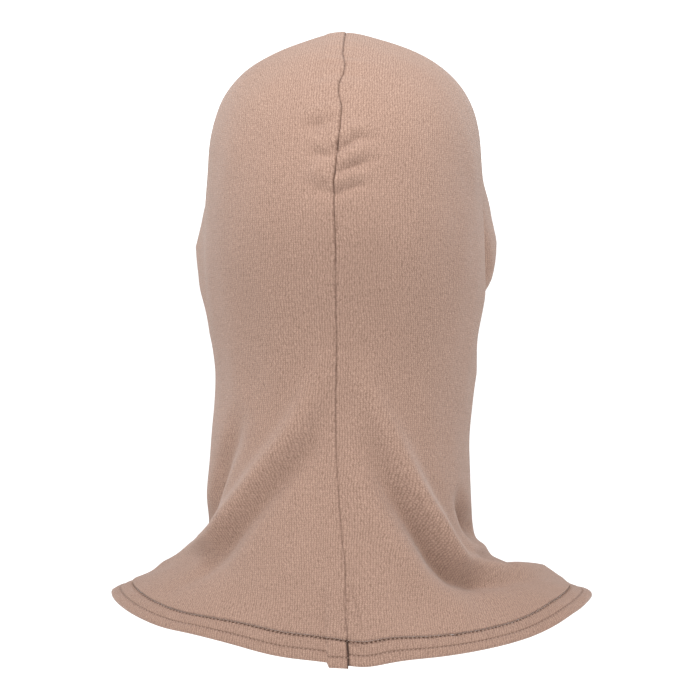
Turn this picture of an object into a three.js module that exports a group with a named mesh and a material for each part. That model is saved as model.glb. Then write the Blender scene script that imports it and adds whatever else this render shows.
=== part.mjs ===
// Full-cover underscarf hood: a knit cap that covers head, neck and shoulders and leaves the face open.
// Millimetres, Z up. The face looks along -Y, the wearer's left side is +X, and the origin is the
// inner face of the crown. The cloth is shaped as it hangs on a head, and every piece is a closed wall.
import * as THREE from 'three';

// Head sizes of the outer face
const HEAD_HEIGHT = 216; // crown to nape
const HEAD_WIDTH = 154;
const HEAD_DEPTH = 194;
const HEAD_BACK = 97; // axis to the back of the head
const EAR_LIFT = 8; // how far the ears push the cloth out
const EAR_SPREAD = 17;

// Neck and hem sizes
const NECK_WIDTH = 142;
const NECK_BACK = 76;
const THROAT = 72; // axis to the throat
const HEM_WIDTH = 268;
const HEM_DEPTH = 186;
const HEM_BACK = 98; // axis to the back hem
const SKIRT_BACK = 121; // nape level down to the hem at the back
const SKIRT_SIDE = 94;
const SKIRT_FRONT = 112;
const HEM_SAG = 7.5; // how far the hem rises or falls between back and sides
const HEM_RISE_FROM = 0.72; // level where that begins

// Face opening
const FACE_DROP = 38; // crown down to its upper edge
const FACE_WIDTH = 124;
const FACE_HEIGHT = 176;

// Folds and seam
const FOLD_LIFT = 10;
const FOLD_SPREAD = 20;
const GATHER_LIFT = 1.3;
const GATHER_SPREAD = 3.5;
const SEAM_DRIFT = 6; // how far the back seam strays from the middle at the hem
const DRIFT_REACH = 0.15; // level either side of it that strays along

// Cloth
const CLOTH = 1.2;
const SEAM_CLOTH = 1.6; // two layers pressed flat
const SEAM_ALLOWANCE = 11;
const HEM_CLOTH = 2.4; // turned over once
const HEM_BAND = 13.4;
const FACE_BAND = 10;
const GAP = 0.3; // between neighbouring pieces

// Cells of the cloth, and steps that measure a column
const PANEL_ROWS = 57;
const PANEL_COLUMNS = 21;
const BAND_ROWS = 2;
const MEASURE_STEPS = 110;
const PATH_STEPS = 5;
const CHART_STEP = 0.003; // level either side of a spot, to measure its slope
const ROUND_STEP = 0.01; // share of the way round, to measure a stride
const EVEN_TURN = 0.62; // how far columns at the hem keep to even turns, the rest bunch at the back
const SEARCH_STEPS = 40;

// Guide rings of the head, as shares of head height, half width, back and front
const HEAD_RINGS = [
  { drop: 0, wide: 0, back: 0, front: 0, egg: 0 },
  { drop: 0.02, wide: 0.215, back: 0.2, front: 0.2, egg: 0 },
  { drop: 0.062, wide: 0.555, back: 0.45, front: 0.445, egg: 0 },
  { drop: 0.12, wide: 0.785, back: 0.64, front: 0.65, egg: 0.04 },
  { drop: 0.2, wide: 0.91, back: 0.815, front: 0.82, egg: 0.08 },
  { drop: 0.3, wide: 0.955, back: 0.93, front: 0.94, egg: 0.11 },
  { drop: 0.4, wide: 0.965, back: 0.99, front: 0.995, egg: 0.11 },
  { drop: 0.5, wide: 0.985, back: 1, front: 1, egg: 0.09 },
  { drop: 0.6, wide: 1, back: 0.95, front: 0.99, egg: 0.06 },
  { drop: 0.7, wide: 0.99, back: 0.865, front: 0.97, egg: 0.03 },
  { drop: 0.8, wide: 0.95, back: 0.81, front: 0.945, egg: 0 },
  { drop: 0.9, wide: 0.92, back: 0.785, front: 0.92, egg: 0 },
];

// Guide rings of the skirt: drop as a share of its lengths, then flare from 0 at the neck to 1 at the hem
const SKIRT_RINGS = [
  { drop: 0, left: 0.04, right: -0.05, back: 0, front: 0.45 },
  { drop: 0.16, left: 0.045, right: -0.06, back: 0.06, front: 0.12 },
  { drop: 0.33, left: 0.065, right: -0.05, back: 0.19, front: -0.05 },
  { drop: 0.5, left: 0.08, right: -0.03, back: 0.37, front: -0.02 },
  { drop: 0.66, left: 0.08, right: -0.015, back: 0.56, front: 0.2 },
  { drop: 0.82, left: 0.22, right: 0.05, back: 0.77, front: 0.58 },
  { drop: 1, left: 0.95, right: 1.05, back: 1, front: 1 },
];

// Rise of the hem at a turn in degrees from the back seam, positive to the wearer's left
const HEM_RISES = [
  { turn: 29, spread: 18, rise: 0.68 },
  { turn: -15, spread: 8, rise: 0.1 },
  { turn: -50, spread: 20, rise: -0.45 },
];

// Stray of the back seam by level, from 0 at the crown to 1 at the hem
const SEAM_STRAYS = [
  { level: 0, stray: 0 },
  { level: 0.11, stray: -0.1 },
  { level: 0.145, stray: -0.4 },
  { level: 0.163, stray: -0.3 },
  { level: 0.182, stray: 0 },
  { level: 0.203, stray: 0 },
  { level: 0.215, stray: -0.3 },
  { level: 0.25, stray: -0.28 },
  { level: 0.275, stray: -0.05 },
  { level: 0.29, stray: -0.1 },
  { level: 0.307, stray: 0.1 },
  { level: 0.33, stray: 0.16 },
  { level: 0.41, stray: 0.02 },
  { level: 0.5, stray: 0.09 },
  { level: 0.65, stray: 0.22 },
  { level: 0.71, stray: 0.12 },
  { level: 0.772, stray: -0.14 },
  { level: 0.81, stray: -0.37 },
  { level: 0.863, stray: -0.76 },
  { level: 0.932, stray: -0.9 },
  { level: 1, stray: -1.08 },
];

// Folds, as shares of fold lift and spread. Path points: turn in degrees, level, strength
const FOLDS = [
  // ridge from the nape to the left shoulder, with a hollow on each side
  {
    lift: 0.65,
    spread: 0.36,
    path: [
      [5, 0.575, 0.2], [11, 0.616, 0.6], [17.5, 0.66, 1], [25.5, 0.698, 1], [37.5, 0.752, 1],
      [48.5, 0.802, 1], [62.5, 0.86, 1], [73, 0.89, 0.9], [85, 0.925, 0.7], [96, 0.96, 0.45],
    ],
  },
  {
    lift: -0.45,
    spread: 0.38,
    path: [
      [6, 0.62, 0], [13, 0.696, 0.7], [24.5, 0.736, 1], [35.5, 0.786, 1], [49, 0.852, 1],
      [60, 0.916, 0.8], [62, 0.96, 0.2],
    ],
  },
  {
    lift: -0.6,
    spread: 0.4,
    path: [
      [45, 0.63, 0], [53.5, 0.692, 0.7], [62, 0.745, 1], [69, 0.8, 1], [75, 0.84, 0.8],
      [88, 0.875, 0.3],
    ],
  },
  // two ridges from the nape to the right shoulder, with the deep fold between them
  {
    lift: 0.95,
    spread: 0.34,
    path: [
      [-10, 0.585, 0.1], [-16, 0.63, 0.35], [-24, 0.681, 0.6], [-32.5, 0.745, 0.8],
      [-38, 0.78, 0.9], [-45.5, 0.821, 1], [-53, 0.866, 1], [-60.5, 0.91, 1], [-70, 0.94, 0.8],
      [-80, 0.955, 0.5], [-90, 0.965, 0.55], [-100, 0.975, 0.6], [-106, 0.985, 0.3],
    ],
  },
  {
    lift: -0.75,
    spread: 0.38,
    path: [
      [-10, 0.66, 0], [-16.5, 0.712, 0.4], [-22.5, 0.753, 0.6], [-30, 0.79, 0.8], [-39, 0.836, 1],
      [-46.5, 0.88, 1.1], [-53.5, 0.912, 1.1], [-61, 0.937, 1], [-70, 0.955, 0.5],
      [-80, 0.966, 0.1],
    ],
  },
  {
    lift: 0.25,
    spread: 0.45,
    path: [
      [-4, 0.68, 0], [-11, 0.745, 0.7], [-16.5, 0.797, 1], [-25, 0.838, 1], [-34, 0.88, 1],
      [-40, 0.925, 1], [-44, 0.955, 0.7],
    ],
  },
  // hollow of the neck over the right shoulder, and the cloth piled below it
  {
    lift: -1,
    spread: 0.36,
    path: [
      [-64, 0.775, 0], [-69, 0.81, 0.5], [-74, 0.838, 1], [-79, 0.858, 1.1], [-86, 0.87, 0.5],
    ],
  },
  {
    lift: 0.4,
    spread: 0.3,
    path: [
      [-64, 0.886, 0.3], [-72, 0.902, 0.8], [-82, 0.914, 1], [-92, 0.922, 0.7], [-99, 0.927, 0],
    ],
  },
  // soft folds from the chin over the collar bones
  { lift: 0.3, spread: 0.8, path: [[150, 0.7, 0], [146, 0.82, 1], [140, 0.98, 0.8]] },
  { lift: 0.3, spread: 0.8, path: [[-152, 0.7, 0], [-147, 0.82, 1], [-140, 0.98, 0.8]] },
  { lift: -0.3, spread: 0.8, path: [[164, 0.72, 0], [163, 0.84, 1], [160, 0.98, 0.6]] },
  { lift: -0.3, spread: 0.8, path: [[-165, 0.72, 0], [-164, 0.84, 1], [-161, 0.98, 0.6]] },
];

// Ears under the cloth, as shares of ear lift and spread
const EARS = [
  // the ears
  { lift: 0.9, spread: 1, path: [[97, 0.385, 0.7], [95, 0.42, 1], [93, 0.46, 0.6]] },
  { lift: 1, spread: 1, path: [[-100, 0.37, 0.7], [-99, 0.41, 1], [-97, 0.455, 0.8]] },
  // the cloth over the jaw below them
  { lift: 0.25, spread: 1.2, path: [[98, 0.49, 0.6], [98, 0.54, 1], [97, 0.6, 0]] },
  { lift: -0.45, spread: 1.1, path: [[-98, 0.49, 1], [-97, 0.54, 1], [-96, 0.6, 0]] },
  // crease behind the right ear
  {
    lift: -0.5,
    spread: 0.32,
    path: [
      [-82, 0.36, 0.3], [-83, 0.41, 1], [-87, 0.46, 1], [-94, 0.49, 0.6],
    ],
  },
];

// Gathers that pull into the back seam over the back of the head
const GATHERS = [
  // left of the back seam, ridge and hollow in turn
  { lift: 1, spread: 1, path: [[1, 0.224, 0.6], [9, 0.229, 1], [16, 0.237, 0]] },
  { lift: -1, spread: 1, path: [[2, 0.241, 0.6], [8, 0.246, 1], [15, 0.253, 0]] },
  { lift: 1, spread: 1, path: [[1, 0.274, 0.7], [7, 0.27, 1], [13, 0.269, 0]] },
  { lift: -0.9, spread: 1, path: [[1, 0.29, 0.6], [6, 0.287, 1], [12, 0.286, 0]] },
  { lift: 1, spread: 1.3, path: [[1, 0.313, 0.7], [7, 0.31, 1], [12, 0.309, 0]] },
  { lift: -0.8, spread: 1.3, path: [[2, 0.338, 1], [6, 0.334, 1], [10, 0.33, 0]] },
  // right of the back seam
  { lift: 1, spread: 1, path: [[-0.5, 0.266, 0.5], [-6, 0.253, 1], [-16, 0.251, 0.2]] },
  { lift: -1.2, spread: 1, path: [[-0.5, 0.28, 1], [-8, 0.263, 1], [-18, 0.266, 0]] },
  { lift: 1.2, spread: 1, path: [[-1, 0.296, 0.8], [-8, 0.284, 1], [-17, 0.277, 0]] },
  { lift: -1.2, spread: 1, path: [[-1, 0.311, 1], [-8, 0.3, 1], [-16, 0.289, 0]] },
  { lift: 1.1, spread: 1, path: [[-1, 0.321, 0.8], [-6, 0.314, 1], [-15, 0.31, 0]] },
  { lift: -1, spread: 1, path: [[-0.5, 0.337, 1], [-6, 0.33, 1], [-15, 0.324, 0]] },
  // skirt beside the seam, above the hem
  { lift: -1, spread: 0.8, path: [[5, 0.89, 0], [4.5, 0.912, 1], [4, 0.936, 1], [3, 0.965, 0.8]] },
  { lift: 0.6, spread: 0.7, path: [[2, 0.9, 0], [1.8, 0.93, 1], [1.5, 0.965, 1]] },
  {
    lift: -0.9,
    spread: 0.45,
    path: [
      [-5.5, 0.885, 0], [-6.5, 0.902, 1], [-8.5, 0.936, 1], [-8, 0.958, 0.6],
    ],
  },
  // over the crown
  { lift: 0.6, spread: 1, path: [[1, 0.13, 0.6], [8, 0.133, 1], [18, 0.14, 0]] },
  { lift: -0.6, spread: 1, path: [[1, 0.165, 0.6], [8, 0.17, 1], [17, 0.175, 0]] },
  { lift: 0.6, spread: 1, path: [[-1, 0.14, 0.6], [-8, 0.138, 1], [-20, 0.14, 0]] },
  { lift: -0.6, spread: 1, path: [[-1, 0.17, 0.6], [-8, 0.168, 1], [-18, 0.17, 0]] },
];

// The rings as plain sizes. A spline through equal steps of level runs just inside them.
function ringSizes() {
  const top = CLOTH + (HEAD_RINGS[1].drop * HEAD_HEIGHT) / 3;
  const rings = HEAD_RINGS.map((r) => {
    const z = top - r.drop * HEAD_HEIGHT;
    const half = (r.wide * HEAD_WIDTH) / 2;
    return {
      zBack: z,
      zSide: z,
      zFront: z,
      left: half,
      right: half,
      back: r.back * HEAD_BACK,
      front: r.front * (HEAD_DEPTH - HEAD_BACK),
      egg: r.egg,
    };
  });
  const nape = top - HEAD_HEIGHT;
  const flare = (HEM_WIDTH - NECK_WIDTH) / 2;
  for (const r of SKIRT_RINGS) {
    rings.push({
      zBack: nape - r.drop * SKIRT_BACK,
      zSide: nape - r.drop * SKIRT_SIDE,
      zFront: nape - r.drop * SKIRT_FRONT,
      left: NECK_WIDTH / 2 + r.left * flare,
      right: NECK_WIDTH / 2 + r.right * flare,
      back: NECK_BACK + r.back * (HEM_BACK - NECK_BACK),
      front: THROAT + r.front * (HEM_DEPTH - HEM_BACK - THROAT),
      egg: 0,
    });
  }
  // The ring before the crown is the next one seen from the other side
  const near = rings[1];
  const mirrored = {
    zBack: near.zFront,
    zSide: near.zSide,
    zFront: near.zBack,
    left: -near.right,
    right: -near.left,
    back: -near.front,
    front: -near.back,
    egg: -near.egg,
  };
  const last = rings[rings.length - 1];
  const before = rings[rings.length - 2];
  const beyond = {};
  for (const key of Object.keys(last)) beyond[key] = 2 * last[key] - before[key];
  return [mirrored, ...rings, beyond];
}
const RINGS = ringSizes();
const RING_KEYS = Object.keys(RINGS[0]);

function ringAt(level) {
  const spans = RINGS.length - 3;
  const t = Math.max(level, 0) * spans;
  const first = Math.min(Math.floor(t), spans - 1);
  const f = t - first;
  const weights = [
    (1 - f) ** 3 / 6,
    (3 * f ** 3 - 6 * f ** 2 + 4) / 6,
    (-3 * f ** 3 + 3 * f ** 2 + 3 * f + 1) / 6,
    f ** 3 / 6,
  ];
  const ring = {};
  for (const key of RING_KEYS) {
    ring[key] = weights.reduce((sum, w, k) => sum + w * RINGS[first + k][key], 0);
  }
  return ring;
}

// A spot on the cloth is a flat chart point: its distance from (0, 0) is the level, its turn starts at +Y
function spotAt(turnDegrees, level) {
  const turn = THREE.MathUtils.degToRad(turnDegrees);
  return new THREE.Vector2(level * Math.sin(turn), level * Math.cos(turn));
}

function basePoint(spot) {
  const level = spot.length();
  const turn = Math.atan2(spot.x, spot.y);
  const ring = ringAt(level);
  const cos = Math.cos(turn);
  const sin = Math.sin(turn);
  const half = ring.right + ((ring.left - ring.right) * (1 + sin)) / 2;
  const fall = cos > 0 ? ring.zBack - ring.zSide : ring.zFront - ring.zSide;
  const fade = Math.max((level - HEM_RISE_FROM) / (1 - HEM_RISE_FROM), 0) ** 2;
  let z = ring.zSide + fall * cos * cos;
  for (const row of HEM_RISES) {
    const away = (THREE.MathUtils.radToDeg(turn) - row.turn) / row.spread;
    z += HEM_SAG * row.rise * fade * Math.exp(-away * away);
  }
  return new THREE.Vector3(
    half * sin * (1 + ring.egg * cos),
    (ring.back - ring.front) / 2 + ((ring.back + ring.front) / 2) * cos,
    z,
  );
}

function normalOf(surface, spot) {
  const step = CHART_STEP;
  const along = (dx, dy) => surface(new THREE.Vector2(spot.x + dx, spot.y + dy));
  const east = along(step, 0).sub(along(-step, 0));
  const north = along(0, step).sub(along(0, -step));
  return east.cross(north).normalize();
}

// Fold rows as paths laid on the bare surface, in millimetres
function laidPaths(rows, lift, spread) {
  return rows.map((row) => {
    const points = [];
    for (let i = 1; i < row.path.length; i++) {
      for (let k = i === 1 ? 0 : 1; k <= PATH_STEPS; k++) {
        const mix = row.path[i].map((to, c) => THREE.MathUtils.lerp(row.path[i - 1][c], to, k / PATH_STEPS));
        points.push({ at: basePoint(spotAt(mix[0], mix[1])), strength: mix[2] });
      }
    }
    return { lift: row.lift * lift, spread: row.spread * spread, points };
  });
}
const LAID = [
  ...laidPaths(FOLDS, FOLD_LIFT, FOLD_SPREAD),
  ...laidPaths(EARS, EAR_LIFT, EAR_SPREAD),
  ...laidPaths(GATHERS, GATHER_LIFT, GATHER_SPREAD),
];

function liftAt(point) {
  const nearest = new THREE.Vector3();
  let lift = 0;
  for (const fold of LAID) {
    let best = Infinity;
    let strength = 0;
    for (let i = 1; i < fold.points.length; i++) {
      const a = fold.points[i - 1];
      const b = fold.points[i];
      const line = new THREE.Line3(a.at, b.at);
      const t = line.closestPointToPointParameter(point, true);
      const distance = line.at(t, nearest).distanceTo(point);
      if (distance < best) {
        best = distance;
        strength = THREE.MathUtils.lerp(a.strength, b.strength, t);
      }
    }
    lift += fold.lift * strength * Math.exp(-((best / fold.spread) ** 2));
  }
  return lift;
}

function clothPoint(spot) {
  const point = basePoint(spot);
  return point.addScaledVector(normalOf(basePoint, spot), liftAt(point));
}

// The edge of the face opening, from the brow (0) to under the chin (1)
function faceSpot(side, share) {
  const x = (side * FACE_WIDTH * Math.sin(Math.PI * share)) / 2;
  const z = CLOTH - FACE_DROP - (FACE_HEIGHT * (1 - Math.cos(Math.PI * share))) / 2;
  let low = 0;
  let high = 1;
  let spot;
  for (let i = 0; i < SEARCH_STEPS; i++) {
    const level = (low + high) / 2;
    const ring = ringAt(level);
    const half = side > 0 ? ring.left : ring.right;
    const off = THREE.MathUtils.radToDeg(Math.asin(THREE.MathUtils.clamp(x / half, -1, 1)));
    spot = spotAt(180 - off, level);
    if (basePoint(spot).z > z) low = level;
    else high = level;
  }
  return spot;
}

function hemSpot(side, share) {
  return spotAt(side * 180 * (EVEN_TURN * share + (1 - EVEN_TURN) * share * share), 1);
}

function seamStray(level) {
  const after = Math.max(SEAM_STRAYS.findIndex((row) => row.level >= level), 1);
  const a = SEAM_STRAYS[after - 1];
  const b = SEAM_STRAYS[after];
  const mix = THREE.MathUtils.smoothstep(level, a.level, b.level);
  return SEAM_DRIFT * THREE.MathUtils.lerp(a.stray, b.stray, mix);
}

// Chart point between the face edge (0) and the hem (1), from the back seam (0) to the front seam (1)
function panelSpot(side, down, round) {
  const spot = faceSpot(side, round).lerp(hemSpot(side, round), down);
  if (spot.y > 0) {
    const level = Math.min(spot.length(), 1);
    const perMillimetre = level / ringAt(level).left;
    spot.x += seamStray(level) * perMillimetre * Math.exp(-((spot.x / DRIFT_REACH) ** 2));
  }
  return spot;
}

// Share of the way round that lies the seam allowance away from a seam
function allowanceShare(side, down, round) {
  const inward = round === 0 ? ROUND_STEP : -ROUND_STEP;
  const seam = basePoint(panelSpot(side, down, round));
  const stride = seam.distanceTo(basePoint(panelSpot(side, down, round + inward)));
  return (SEAM_ALLOWANCE * ROUND_STEP) / stride;
}

// A column of the panel: where it runs and how far each step of it is from the face edge
function column(side, index) {
  const steps = [];
  let length = 0;
  let last = null;
  for (let i = 0; i <= MEASURE_STEPS; i++) {
    const down = i / MEASURE_STEPS;
    const from = allowanceShare(side, down, 0);
    const to = 1 - allowanceShare(side, down, 1);
    let round = THREE.MathUtils.lerp(from, to, (index - 1) / (PANEL_COLUMNS - 2));
    if (index === 0) round = 0;
    if (index === PANEL_COLUMNS) round = 1;
    const spot = panelSpot(side, down, round);
    const point = basePoint(spot);
    if (last) length += point.distanceTo(last);
    steps.push({ spot, length });
    last = point;
  }
  return steps;
}
const COLUMNS = {};
for (const side of [1, -1]) {
  COLUMNS[side] = Array.from({ length: PANEL_COLUMNS + 1 }, (_, i) => column(side, i));
}

function spotAlong(steps, distance) {
  const after = Math.max(steps.findIndex((s) => s.length >= distance), 1);
  const a = steps[after - 1];
  const b = steps[after];
  return a.spot.clone().lerp(b.spot, (distance - a.length) / (b.length - a.length));
}

// Outer points and normals of a stretch of columns. Rows run between two distances of each column.
function clothGrid(columns, rows, fromTo) {
  return columns.map((steps) => {
    const [from, to] = fromTo(steps[steps.length - 1].length);
    return Array.from({ length: rows + 1 }, (_, r) => {
      const spot = spotAlong(steps, THREE.MathUtils.lerp(from, to, r / rows));
      return { point: clothPoint(spot), normal: normalOf(clothPoint, spot) };
    });
  });
}

// Moves the first or last column of a grid away from a seam, towards its neighbour
function insetEdge(grid, edge, neighbour) {
  grid[edge].forEach((cell, r) => {
    const towards = grid[neighbour][r].point.clone().sub(cell.point).normalize();
    cell.point.addScaledVector(towards, GAP / 2);
  });
}

// A closed wall between two depths under the outer face. Cells split along the run of the folds, which
// lead down and away from the back seam. Columns of the wearer's right run the other way round.
function wall(grid, outerDepth, innerDepth, { side = 1, ring = false } = {}) {
  const across = grid.length;
  const rows = grid[0].length;
  const positions = [];
  for (const depth of [outerDepth, innerDepth]) {
    for (const cells of grid) {
      for (const cell of cells) positions.push(...cell.point.clone().addScaledVector(cell.normal, -depth));
    }
  }
  const index = [];
  const id = (layer, c, r) => (layer * across + (c % across)) * rows + r;
  const quad = (a, b, c, d) => (side > 0 ? index.push(a, c, b, a, d, c) : index.push(a, b, c, a, c, d));
  const lastColumn = ring ? across : across - 1;
  for (let c = 0; c < lastColumn; c++) {
    for (let r = 0; r < rows - 1; r++) {
      quad(id(0, c, r), id(0, c, r + 1), id(0, c + 1, r + 1), id(0, c + 1, r));
      quad(id(1, c, r), id(1, c + 1, r), id(1, c + 1, r + 1), id(1, c, r + 1));
    }
    quad(id(0, c, 0), id(0, c + 1, 0), id(1, c + 1, 0), id(1, c, 0));
    quad(id(0, c + 1, rows - 1), id(0, c, rows - 1), id(1, c, rows - 1), id(1, c + 1, rows - 1));
  }
  if (!ring) {
    for (let r = 0; r < rows - 1; r++) {
      quad(id(0, 0, r + 1), id(0, 0, r), id(1, 0, r), id(1, 0, r + 1));
      quad(id(0, across - 1, r), id(0, across - 1, r + 1), id(1, across - 1, r + 1), id(1, across - 1, r));
    }
  }
  const geometry = new THREE.BufferGeometry();
  geometry.setAttribute('position', new THREE.Float32BufferAttribute(positions, 3));
  geometry.setIndex(index);
  geometry.computeVertexNormals();
  return geometry;
}

const knit = new THREE.MeshStandardMaterial({ color: '#b99b88', roughness: 0.95, metalness: 0 });
const hemKnit = new THREE.MeshStandardMaterial({ color: '#b59586', roughness: 0.95, metalness: 0 });
const group = new THREE.Group();

function add(name, geometry, material) {
  const mesh = new THREE.Mesh(geometry, material);
  mesh.name = name;
  group.add(mesh);
}

// The two halves of the hood, cut from one layer of knit
const panelSpan = (length) => [FACE_BAND + GAP, length - HEM_BAND - GAP];
for (const [name, side] of [['left_panel', 1], ['right_panel', -1]]) {
  const grid = clothGrid(COLUMNS[side], PANEL_ROWS, panelSpan);
  insetEdge(grid, 0, 1);
  insetEdge(grid, PANEL_COLUMNS, PANEL_COLUMNS - 1);
  add(name, wall(grid, 0, CLOTH, { side }), knit);
}

// The lower hem, turned over once, in two halves that meet at the seams
for (const [name, side] of [['left_hem', 1], ['right_hem', -1]]) {
  const grid = clothGrid(COLUMNS[side], BAND_ROWS, (length) => [length - HEM_BAND, length]);
  insetEdge(grid, 0, 1);
  insetEdge(grid, PANEL_COLUMNS, PANEL_COLUMNS - 1);
  add(name, wall(grid, 0, HEM_CLOTH, { side }), hemKnit);
}

// The turned edge round the face, one ring
const faceColumns = [...COLUMNS[1], ...COLUMNS[-1].slice(1, -1).reverse()];
const faceRing = clothGrid(faceColumns, BAND_ROWS, () => [0, FACE_BAND]);
add('face_hem', wall(faceRing, 0, HEM_CLOTH, { ring: true }), hemKnit);

// The seam allowances inside, pressed to the wearer's left
const seamTop = CLOTH + GAP;
const backSeam = clothGrid(COLUMNS[1].slice(0, 2), PANEL_ROWS, panelSpan);
add('back_seam', wall(backSeam, seamTop, seamTop + SEAM_CLOTH), knit);
const frontSeam = clothGrid(COLUMNS[1].slice(-2), PANEL_ROWS / 3, panelSpan);
add('front_seam', wall(frontSeam, seamTop, seamTop + SEAM_CLOTH), knit);

export default group;
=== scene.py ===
# Full-cover underscarf hood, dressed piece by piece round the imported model. Lengths in millimetres
# become metres where a mesh is made.
import math
import bpy
import numpy as np
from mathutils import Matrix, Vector


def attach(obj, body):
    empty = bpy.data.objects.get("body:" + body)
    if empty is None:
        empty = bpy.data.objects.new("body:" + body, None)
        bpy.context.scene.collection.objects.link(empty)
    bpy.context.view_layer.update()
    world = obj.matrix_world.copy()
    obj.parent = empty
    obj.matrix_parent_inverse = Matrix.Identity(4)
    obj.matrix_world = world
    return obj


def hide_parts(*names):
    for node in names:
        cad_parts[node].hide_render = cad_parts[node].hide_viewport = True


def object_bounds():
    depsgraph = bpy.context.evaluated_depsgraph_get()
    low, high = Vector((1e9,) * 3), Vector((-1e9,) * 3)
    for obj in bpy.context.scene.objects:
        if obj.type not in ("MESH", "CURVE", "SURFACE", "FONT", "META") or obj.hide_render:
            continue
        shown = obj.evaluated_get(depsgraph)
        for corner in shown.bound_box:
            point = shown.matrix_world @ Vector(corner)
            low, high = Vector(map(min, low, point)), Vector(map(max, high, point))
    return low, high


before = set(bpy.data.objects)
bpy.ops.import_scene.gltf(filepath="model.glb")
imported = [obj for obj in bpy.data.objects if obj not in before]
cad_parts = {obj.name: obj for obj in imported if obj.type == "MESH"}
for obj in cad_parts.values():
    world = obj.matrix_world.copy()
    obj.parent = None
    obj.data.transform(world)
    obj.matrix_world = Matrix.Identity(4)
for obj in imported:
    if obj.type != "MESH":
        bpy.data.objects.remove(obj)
cad_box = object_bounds()

# The two panels of the hood
# Each is cut from one layer of fine beige jersey. They are sewn together over the crown, down the
# back and under the chin, and the cloth hangs in the folds that a worn hood takes at nape and shoulders.
HEAD_HEIGHT = 216.0
HEAD_WIDTH = 154.0
HEAD_BACK = 97.0
HEAD_FRONT = 97.0
EAR_LIFT = 8.0
EAR_SPREAD = 17.0
NECK_WIDTH = 142.0
NECK_BACK = 76.0
THROAT = 72.0
HEM_WIDTH = 268.0
HEM_BACK = 98.0
HEM_FRONT = 88.0
SKIRT_BACK = 121.0
SKIRT_SIDE = 94.0
SKIRT_FRONT = 112.0
HEM_SAG = 7.5
FACE_DROP = 38.0
FACE_WIDTH = 124.0
FACE_HEIGHT = 176.0
FOLD_LIFT = 10.0
FOLD_SPREAD = 20.0
GATHER_LIFT = 1.3
GATHER_SPREAD = 3.5
SEAM_DRIFT = 6.0
DRIFT_REACH = 0.15
CLOTH = 1.2
SEAM_CLOTH = 1.6
SEAM_ALLOWANCE = 11.0
HEM_CLOTH = 2.4
HEM_BAND = 13.4
FACE_BAND = 10.0
GAP = 0.3

# Guide rings of the head: drop, wide, back, front, egg
HEAD_RINGS = (
    (0.000, 0.000, 0.000, 0.000, 0.00),
    (0.020, 0.215, 0.200, 0.200, 0.00),
    (0.062, 0.555, 0.450, 0.445, 0.00),
    (0.120, 0.785, 0.640, 0.650, 0.04),
    (0.200, 0.910, 0.815, 0.820, 0.08),
    (0.300, 0.955, 0.930, 0.940, 0.11),
    (0.400, 0.965, 0.990, 0.995, 0.11),
    (0.500, 0.985, 1.000, 1.000, 0.09),
    (0.600, 1.000, 0.950, 0.990, 0.06),
    (0.700, 0.990, 0.865, 0.970, 0.03),
    (0.800, 0.950, 0.810, 0.945, 0.00),
    (0.900, 0.920, 0.785, 0.920, 0.00),
)
# Guide rings of the skirt: drop, then flare to the left, right, back and front
SKIRT_RINGS = (
    (0.00, 0.040, -0.050, 0.00, 0.45),
    (0.16, 0.045, -0.060, 0.06, 0.12),
    (0.33, 0.065, -0.050, 0.19, -0.05),
    (0.50, 0.080, -0.030, 0.37, -0.02),
    (0.66, 0.080, -0.015, 0.56, 0.20),
    (0.82, 0.220, 0.050, 0.77, 0.58),
    (1.00, 0.950, 1.050, 1.00, 1.00),
)
# Rise of the hem: turn in degrees, spread, share
HEM_RISES = ((29, 18, 0.68), (-15, 8, 0.1), (-50, 20, -0.45))
# Stray of the back seam: level, share
SEAM_STRAYS = (
    (0, 0), (0.11, -0.1), (0.145, -0.4), (0.163, -0.3), (0.182, 0), (0.203, 0), (0.215, -0.3),
    (0.25, -0.28), (0.275, -0.05), (0.29, -0.1), (0.307, 0.1), (0.33, 0.16), (0.41, 0.02), (0.5, 0.09),
    (0.65, 0.22), (0.71, 0.12), (0.772, -0.14), (0.81, -0.37), (0.863, -0.76), (0.932, -0.9), (1, -1.08),
)
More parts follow.
